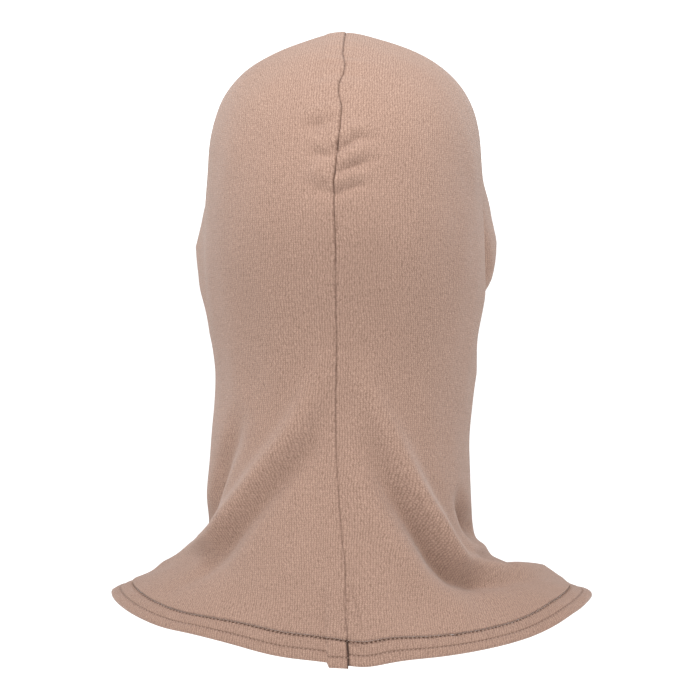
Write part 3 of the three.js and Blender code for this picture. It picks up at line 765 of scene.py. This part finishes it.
def band_mesh(name, loops, uv, painted_shade, flip, ring=False):
    """A band from a closed section (rows) at each column, capped at both ends unless it is a ring."""
    rows, across = loops.shape[:2]
    ids = np.arange(rows * across).reshape(rows, across)
    if ring:
        ids = np.hstack([ids, ids[:, :1]])
    top = grid_faces(np.vstack([ids[-1:], ids[:1]]))
    if ring:
        faces = np.concatenate([grid_faces(ids), top])
        rims = len(top)
    else:
        first = end_cap(ids[:, 0], False)
        last = end_cap(ids[:, -1], True)
        faces = np.concatenate([grid_faces(ids), top, first, last])
        rims = len(top) + len(first) + len(last)
    if flip:
        faces = faces[:, ::-1]
    return mesh_object(name, loops.reshape(-1, 3), faces, uv.reshape(-1, 2), painted_shade.ravel(), rims)


def nearest_row(along, depth, row):
    """Number of the section's point that lies nearest a distance, on the outer face."""
    return np.argmin(np.abs(along - row) + depth)


HOLE_ACROSS = 0.45
HOLE_ALONG = 0.5
HOLE_SLANT = 0.5  # how far a hole leans with its distance from the row
HOLE_DEPTH = 0.5


def needle_holes(along, line, row, closed=False):
    """Depth of a row's needle holes, from 0 to 1, halfway between the stitches along its line."""
    if closed:
        line = np.vstack([line, line[:1]])
    track = across_lengths(line[None])[0]
    pitch = track[-1] / math.floor(track[-1] / STITCH_PITCH)
    if closed:
        track = track[:-1]
    beside = along - row
    phase = (track - HOLE_SLANT * beside) / pitch
    near = (phase - np.floor(phase) - 0.5) * pitch
    return np.exp(-((beside / HOLE_ACROSS) ** 2) - (near / HOLE_ALONG) ** 2)


HEM_COLUMNS = 860
GROOVE_WIDTH = 0.45  # the lower row draws the cloth in
GROOVE_DEPTH = 0.3
HEM_PUFF = 0.4  # swelling of the band between its rows
EDGE_PUFF = 0.8  # and its share below the lower row
PUFF_ROUNDNESS = 0.7
THREAD_LIFT = 0.05
# Painted shade in the needle holes of the upper row and in the groove of the lower row.
HOLE_SHADE = 0.95
GROOVE_SHADE = 0.55
TAB_DROP_STARTS = (1.2, 5.0)  # from the top of the band
TAB_RISE_STARTS = (0.2, 2.0)


def make_hem(name, side):
    offsets = np.arange(0, SEAM_ALLOWANCE + 0.01, 0.5)
    lines = columns(side, offsets, HEM_COLUMNS, offsets[::2])
    full = lines[1][-1]
    along, depth = band_section(HEM_BAND, HEM_CLOTH, LOWER_ROW)
    along = along[:, None] + 0 * full
    depth = depth[:, None]
    spots = cloth_grid(lines, full - HEM_BAND + along)
    bare = base_points(spots)
    normals = base_normals(spots)
    across = across_lengths(bare)
    front_across = across[:, -1:] - across
    rise = cloth_lift(bare)
    rise += seam_form(side, across, HEM_BAND - along, front_across)
    outside = depth < HEM_CLOTH / 2
    groove = np.exp(-(((along - LOWER_ROW) / GROOVE_WIDTH) ** 2)) * outside
    between = np.clip((along - UPPER_ROW) / (LOWER_ROW - UPPER_ROW), 0, 1)
    below = np.clip((along - LOWER_ROW) / (HEM_BAND - LOWER_ROW), 0, 1)
    puff = np.sin(np.pi * between) ** PUFF_ROUNDNESS
    puff += EDGE_PUFF * np.sin(np.pi * below)
    rise += HEM_PUFF * puff - GROOVE_DEPTH * groove
    loops = bare + normals * (rise - depth)[..., None]
    if side > 0:
        tab = 1 - smooth_step(across, SEAM_ALLOWANCE - 0.6, SEAM_ALLOWANCE + 0.5)
        down = bare[np.argmax(along[:, 0])] - bare[0]
        down /= np.linalg.norm(down, axis=-1, keepdims=True)
        slope = 0.6 + 0.4 * np.minimum(across / SEAM_ALLOWANCE, 1)
        drop = TAB_DROP * tab * smooth_step(along, *TAB_DROP_STARTS) * slope
        proud = TAB_RISE * tab * smooth_step(along, *TAB_RISE_STARTS) * outside
        loops = loops + down * drop[..., None]
        loops = loops + normals * proud[..., None]
    upper = nearest_row(along[:, 0], depth[:, 0], UPPER_ROW)
    lower = nearest_row(along[:, 0], depth[:, 0], LOWER_ROW)
    stitch_lines = [(loops[row] + THREAD_LIFT * normals[row], normals[row]) for row in (upper, lower)]
    holes = needle_holes(along, stitch_lines[0][0], UPPER_ROW) * outside
    loops = loops - normals * (HOLE_DEPTH * holes)[..., None]
    uv = knit_lengths(spots)
    # Painted shade: needle holes, the lower row's groove and the seam's groove darken the colour.
    painted_shade = HOLE_SHADE * holes + GROOVE_SHADE * groove
    painted_shade = painted_shade + painted_seam_shade(across, front_across, HEM_BAND - along)
    return band_mesh(name, loops, uv, painted_shade, side < 0), stitch_lines


left_hem_cloth, left_lines = make_hem("left_turned_hem", 1)
right_hem_cloth, right_lines = make_hem("right_turned_hem", -1)
hem_knit = knit_material("turned_jersey", (0.39, 0.256, 0.197), (0.19, 0.114, 0.084))
for piece, node in ((left_hem_cloth, "left_hem"), (right_hem_cloth, "right_hem")):
    piece.data.materials.append(hem_knit)
    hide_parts(node)
    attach(piece, "root")

# The turned edge round the face
# One narrow ring where the cloth is turned in once round the face opening and topstitched, so that
# it lies flat against the cheeks.
FACE_ROW = 1.6
FACE_PUFF = 0.5
# Painted shade in the needle holes of the face row.
FACE_HOLE_SHADE = 0.8
FACE_COLUMNS = 220
FACE_OFFSETS = (0.0, 1.5, 3.5, 7.0, 11.0)


def make_face_hem(name):
    along, depth = band_section(FACE_BAND, HEM_CLOTH, FACE_BAND / 2)
    grids = []
    for side in (1, -1):
        lines = columns(side, FACE_OFFSETS, FACE_COLUMNS, FACE_OFFSETS)
        distances = FACE_BAND - along[:, None] + 0 * lines[1][-1]
        grids.append(cloth_grid(lines, distances))
    spots = np.hstack([grids[0], grids[1][:, -2:0:-1]])
    bare = base_points(spots)
    normals = base_normals(spots)
    closed = np.hstack([bare, bare[:, :1]])
    track = across_lengths(closed)[:1, :-1] + 0 * along[:, None]
    puff = np.sin(np.pi * np.clip((along - FACE_ROW) / (FACE_BAND - FACE_ROW), 0, 1))[:, None]
    rise = cloth_lift(bare) + FACE_PUFF * puff
    loops = bare + normals * (rise - depth[:, None])[..., None]
    row = nearest_row(along, depth, FACE_ROW)
    stitch_line = (loops[row] + THREAD_LIFT * normals[row], normals[row])
    holes = needle_holes(along[:, None], stitch_line[0], FACE_ROW, closed=True)
    holes = holes * (depth < HEM_CLOTH / 2)[:, None]
    loops = loops - normals * (HOLE_DEPTH * holes)[..., None]
    uv = np.stack([track, along[:, None] + 0 * track], -1)
    # The needle holes carry painted shade.
    return band_mesh(name, loops, uv, FACE_HOLE_SHADE * holes, True, ring=True), stitch_line


face_hem_cloth, (face_chain, face_out) = make_face_hem("face_edge")
face_hem_cloth.data.materials.append(hem_knit)
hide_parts("face_hem")
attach(face_hem_cloth, "root")

# The seam allowances
# Inside the hood the two raw edges of each seam are overlocked together and pressed to the
# wearer's left.
ALLOWANCE_COLUMNS = 9
FOLLOWS_RISE = 0.35  # how much of the panel's rise the allowance shares
EDGE_WAVE = 0.15
EDGE_WAVE_LENGTH = 2.1
TUCK_WIDTH = 2.2  # how far from the seam the allowance follows its roll
LOOPS_UNDER = 0.1  # how far inside the raw edge the overlock loops lie


def make_allowance(name, at_back, rows):
    offsets = np.linspace(0, SEAM_ALLOWANCE, ALLOWANCE_COLUMNS)
    lines = columns(1, offsets, 0, offsets)
    kept = slice(ALLOWANCE_COLUMNS) if at_back else slice(-ALLOWANCE_COLUMNS, None)
    lines = tuple(part[:, kept] for part in lines)
    full = lines[1][-1]
    share = np.linspace(0, 1, rows + 1)[:, None]
    distances = FACE_BAND + GAP + share * (full - HEM_BAND - FACE_BAND - 2 * GAP)
    spots = cloth_grid(lines, distances)
    bare = base_points(spots)
    normals = base_normals(spots)
    across = across_lengths(bare)
    from_seam = across if at_back else across[:, -1:] - across
    rise = cloth_lift(bare)
    wave = EDGE_WAVE * np.sin(distances / EDGE_WAVE_LENGTH) * from_seam / SEAM_ALLOWANCE
    rise += FOLLOWS_RISE * ALLOWANCE_RISE + wave
    rise -= SEAM_ROLL * np.exp(-((from_seam / TUCK_WIDTH) ** 2))
    outer = bare + normals * (rise - CLOTH - GAP)[..., None]
    inner = outer - normals * SEAM_CLOTH
    uv = np.stack([across, full - distances], -1)
    piece = closed_wall(name, outer, inner, uv, 0 * across, False)
    edge = (inner[:, -1] if at_back else inner[:, 0]) - normals[:, 0] * LOOPS_UNDER
    return piece, edge, -normals[:, -1 if at_back else 0]


seam_knit = knit_material("pressed_allowance", (0.385, 0.25, 0.193), (0.255, 0.158, 0.118))
back_allowance, back_edge, back_out = make_allowance("back_allowance", True, 260)
front_allowance, front_edge, front_out = make_allowance("front_allowance", False, 80)
for piece, node in ((back_allowance, "back_seam"), (front_allowance, "front_seam")):
    piece.data.materials.append(seam_knit)
    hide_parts(node)
    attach(piece, "root")

# The stitching
# Spun polyester thread in the colour of the cloth: two rows along the lower hem, one round the face,
# and overlock loops on the raw edges inside.
# Painted shade between the thread's twists and a painted highlight on them, following the same noise as its
# bump.
SHADED_TWIST = 0.72  # the thread's colour between its twists, and on them
LIT_TWIST = 1.2


def thread_material(name, colour):
    material = bpy.data.materials.new(name)
    material.use_nodes = True
    tree = material.node_tree
    tree.nodes.clear()
    place = add_node(tree, "ShaderNodeTexCoord").outputs["Object"]
    twist = add_node(tree, "ShaderNodeTexNoise", {"Vector": place, "Scale": 2600.0, "Detail": 2.0})
    twist = twist.outputs["Fac"]
    dark = [SHADED_TWIST * part for part in colour]
    light = [LIT_TWIST * part for part in colour]
    tint = add_node(
        tree, "ShaderNodeMix", {"Factor": twist, "A": (*dark, 1), "B": (*light, 1)},
        data_type="RGBA",
    ).outputs["Result"]
    bump = add_node(tree, "ShaderNodeBump", {"Height": twist, "Strength": 0.4, "Distance": 0.0002})
    shader = add_node(tree, "ShaderNodeBsdfPrincipled", {
        "Base Color": tint,
        "Roughness": 0.7,
        "Sheen Weight": 0.1,
        "Normal": bump.outputs[0],
    })
    add_node(tree, "ShaderNodeOutputMaterial", {0: shader.outputs[0]})
    return material


def stitch_tree():
    """Stitches laid along a chain of points, each on the cloth and turned by its slant."""
    tree = bpy.data.node_groups.new("stitch_row", "GeometryNodeTree")
    face = tree.interface
    face.new_socket("Geometry", in_out="INPUT", socket_type="NodeSocketGeometry")
    for label, value in (("Pitch", 0.0024), ("Stitch length", 0.0016), ("Thread", 0.0004), ("Slant", 0.3)):
        face.new_socket(label, in_out="INPUT", socket_type="NodeSocketFloat").default_value = value
    face.new_socket("Thread material", in_out="INPUT", socket_type="NodeSocketMaterial")
    face.new_socket("Geometry", in_out="OUTPUT", socket_type="NodeSocketGeometry")
    given = add_node(tree, "NodeGroupInput").outputs
    curve = add_node(tree, "GeometryNodeMeshToCurve", {"Mesh": given["Geometry"]}).outputs[0]
    points = add_node(
        tree, "GeometryNodeCurveToPoints", {"Curve": curve, "Length": given["Pitch"]},
        mode="LENGTH",
    )
    out = add_node(
        tree, "GeometryNodeInputNamedAttribute", {"Name": "out"},
        data_type="FLOAT_VECTOR",
    ).outputs[0]
    along = add_node(
        tree, "FunctionNodeAlignRotationToVector", {"Vector": points.outputs["Tangent"]},
        axis="X",
    )
    lying = add_node(
        tree, "FunctionNodeAlignRotationToVector", {"Rotation": along.outputs[0], "Vector": out},
        axis="Z", pivot_axis="X",
    )
    slant = add_node(tree, "FunctionNodeAxisAngleToRotation", {"Axis": (0, 0, 1), "Angle": given["Slant"]})
    turned = add_node(
        tree, "FunctionNodeRotateRotation", {"Rotation": lying.outputs[0], "Rotate By": slant.outputs[0]},
        rotation_space="LOCAL",
    )
    ball = add_node(tree, "GeometryNodeMeshUVSphere", {"Segments": 7, "Rings": 5, "Radius": 0.5})
    size = add_node(tree, "ShaderNodeCombineXYZ", {
        "X": given["Stitch length"], "Y": given["Thread"], "Z": given["Thread"],
    })
    stitch = add_node(tree, "GeometryNodeTransform", {
        "Geometry": ball.outputs["Mesh"], "Scale": size.outputs[0],
    })
    placed = add_node(tree, "GeometryNodeInstanceOnPoints", {
        "Points": points.outputs["Points"], "Instance": stitch.outputs[0], "Rotation": turned.outputs[0],
    })
    real = add_node(tree, "GeometryNodeRealizeInstances", {"Geometry": placed.outputs[0]})
    smooth = add_node(tree, "GeometryNodeSetShadeSmooth", {"Geometry": real.outputs[0]})
    dressed = add_node(tree, "GeometryNodeSetMaterial", {
        "Geometry": smooth.outputs[0], "Material": given["Thread material"],
    })
    add_node(tree, "NodeGroupOutput", {"Geometry": dressed.outputs[0]})
    return tree


STITCH_ROW = stitch_tree()


def stitch_row(name, chains, outs, material, pitch, length, thread, slant):
    """Stitches along one or more chains of points, made one plain mesh."""
    mesh = bpy.data.meshes.new(name + "_path")
    points = np.concatenate(chains)
    edges = []
    start = 0
    for chain in chains:
        edges += [(start + i, start + i + 1) for i in range(len(chain) - 1)]
        start += len(chain)
    mesh.from_pydata((points * METRE).tolist(), edges, [])
    attribute = mesh.attributes.new("out", "FLOAT_VECTOR", "POINT")
    attribute.data.foreach_set("vector", np.concatenate(outs).astype(np.float32).ravel())
    path = bpy.data.objects.new(name + "_path", mesh)
    bpy.context.collection.objects.link(path)
    modifier = path.modifiers.new("stitches", "NODES")
    modifier.node_group = STITCH_ROW
    values = {
        "Pitch": pitch * METRE,
        "Stitch length": length * METRE,
        "Thread": thread * METRE,
        "Slant": slant,
        "Thread material": material,
    }
    for item in STITCH_ROW.interface.items_tree:
        if item.item_type == "SOCKET" and item.in_out == "INPUT" and item.name in values:
            modifier[item.identifier] = values[item.name]
    evaluated = path.evaluated_get(bpy.context.evaluated_depsgraph_get())
    piece = bpy.data.objects.new(name, bpy.data.meshes.new_from_object(evaluated))
    bpy.context.collection.objects.link(piece)
    bpy.data.objects.remove(path)
    bpy.data.meshes.remove(mesh)
    return piece


hem_thread = thread_material("hem_thread", (0.47, 0.32, 0.25))
hem_rows = list(zip(left_lines, right_lines))
upper_stitches = stitch_row(
    "upper_hem_stitches", [line for line, out in hem_rows[0]], [out for line, out in hem_rows[0]],
    hem_thread, STITCH_PITCH, 1.35, 0.36, 0.35,
)
lower_stitches = stitch_row(
    "lower_hem_stitches", [line for line, out in hem_rows[1]], [out for line, out in hem_rows[1]],
    hem_thread, STITCH_PITCH, 1.6, 0.26, 0.08,
)
face_stitches = stitch_row(
    "face_stitches", [np.vstack([face_chain, face_chain[:1]])], [np.vstack([face_out, face_out[:1]])],
    hem_thread, STITCH_PITCH, 1.35, 0.36, 0.3,
)
overlock_thread = thread_material("overlock_thread", (0.50, 0.35, 0.28))
overlock = stitch_row(
    "overlock_loops", [back_edge, front_edge], [back_out, front_out],
    overlock_thread, 1.7, 5.0, 0.4, 1.25,
)
for piece in (upper_stitches, lower_stitches, face_stitches):
    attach(piece, "root")
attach(overlock, "root")

# The studio
# A pale floor that is faintly lit of its own, a white surround, a soft lamp over the crown, and a
# wide, weak one on the camera's side.
CAMERA_DISTANCE = 1.7
CAMERA_TURN = 183.2
CAMERA_RISE = 3.2
PHOTO_SIZE = 700
MM_PER_PIXEL = 0.556
AXIS_PIXEL = (346.0, 36.0)  # where the crown's axis meets the picture's top outline

FLOOR_HALF = 40.0
FLOOR_BELOW = 0.12  # under the hem
FLOOR_GLOW = 0.35
floor_z = cad_box[0][2] - FLOOR_BELOW
corners = ((-1, -1), (1, -1), (1, 1), (-1, 1))
floor_mesh = bpy.data.meshes.new("floor")
floor_mesh.from_pydata([(x * FLOOR_HALF, y * FLOOR_HALF, floor_z) for x, y in corners], [], [(0, 1, 2, 3)])
floor = bpy.data.objects.new("floor", floor_mesh)
bpy.context.collection.objects.link(floor)
floor_paint = bpy.data.materials.new("pale_floor")
floor_paint.use_nodes = True
floor_shader = floor_paint.node_tree.nodes["Principled BSDF"]
floor_shader.inputs["Base Color"].default_value = (0.9, 0.9, 0.9, 1)
floor_shader.inputs["Roughness"].default_value = 0.9
floor_shader.inputs["Emission Color"].default_value = (1, 1, 1, 1)
floor_shader.inputs["Emission Strength"].default_value = FLOOR_GLOW
floor_mesh.materials.append(floor_paint)

# The surround is white, brightest round the horizon as between the side lamps of a studio
HORIZON_LIGHT = 1.5
ZENITH_LIGHT = 0.7
SIDE_LIGHT = 1.5  # how much brighter it is at the sides
world = bpy.data.worlds.new("surround")
world.use_nodes = True
sky = world.node_tree
direction = add_node(sky, "ShaderNodeTexCoord").outputs["Generated"]
parts = add_node(sky, "ShaderNodeSeparateXYZ", {0: direction})
strength = add_node(
    sky, "ShaderNodeMapRange", {0: parts.outputs[2], 1: 0.0, 2: 0.5, 3: HORIZON_LIGHT, 4: ZENITH_LIGHT},
    interpolation_type="SMOOTHSTEP",
).outputs[0]
off_middle = sums(sky, "ABSOLUTE", parts.outputs[0])
sideways = add_node(
    sky, "ShaderNodeMapRange", {0: off_middle, 1: 0.5, 2: 0.95, 3: 1.0, 4: SIDE_LIGHT},
    interpolation_type="SMOOTHSTEP",
).outputs[0]
strength = sums(sky, "MULTIPLY", strength, sideways)
sky.links.new(strength, sky.nodes["Background"].inputs["Strength"])
sky.nodes["Background"].inputs["Color"].default_value = (1, 1, 1, 1)
bpy.context.scene.world = world

# One soft lamp hangs above and a little behind the crown, so that the shoulders get less of it
LAMP_SIZE = 0.5
LAMP_POWER = 8.0
LAMP_PLACE = (0.02, 0.42, 0.62)
LAMP_AIM = (0, 0.05, -0.1)
lamp_data = bpy.data.lights.new("over_crown", "AREA")
lamp_data.energy = LAMP_POWER
lamp_data.size = LAMP_SIZE
lamp = bpy.data.objects.new("over_crown", lamp_data)
lamp.location = LAMP_PLACE
lamp.rotation_euler = (Vector(LAMP_AIM) - lamp.location).to_track_quat("-Z", "Y").to_euler()
bpy.context.collection.objects.link(lamp)

# A wide, weak lamp at neck height on the camera's side
FILL_SIZE = 1.0
FILL_POWER = 2.0
FILL_PLACE = (0, 1.6, -0.2)
FILL_AIM = (0, 0, -0.2)
fill_data = bpy.data.lights.new("fill", "AREA")
fill_data.energy = FILL_POWER
fill_data.size = FILL_SIZE
fill = bpy.data.objects.new("fill", fill_data)
fill.location = FILL_PLACE
fill.rotation_euler = (Vector(FILL_AIM) - fill.location).to_track_quat("-Z", "Y").to_euler()
bpy.context.collection.objects.link(fill)

turn = math.radians(CAMERA_TURN)
rise = math.radians(CAMERA_RISE)
away = np.array((math.sin(turn) * math.cos(rise), -math.cos(turn) * math.cos(rise), math.sin(rise)))
across_view = np.array((math.cos(turn), math.sin(turn), 0))
centre = np.array((0, 0, CLOTH - (PHOTO_SIZE / 2 - AXIS_PIXEL[1]) * MM_PER_PIXEL))
centre = centre + across_view * (PHOTO_SIZE / 2 - AXIS_PIXEL[0]) * MM_PER_PIXEL
camera_data = bpy.data.cameras.new("camera")
camera_data.sensor_width = 36.0
camera_data.lens = camera_data.sensor_width * CAMERA_DISTANCE / (PHOTO_SIZE * MM_PER_PIXEL * METRE)
camera_data.clip_end = 50.0
camera = bpy.data.objects.new("camera", camera_data)
bpy.context.collection.objects.link(camera)
camera.location = centre * METRE + away * CAMERA_DISTANCE
camera.rotation_euler = (math.pi / 2 - rise, 0, turn)
bpy.context.scene.camera = camera
bpy.context.scene.view_settings.view_transform = "Standard"
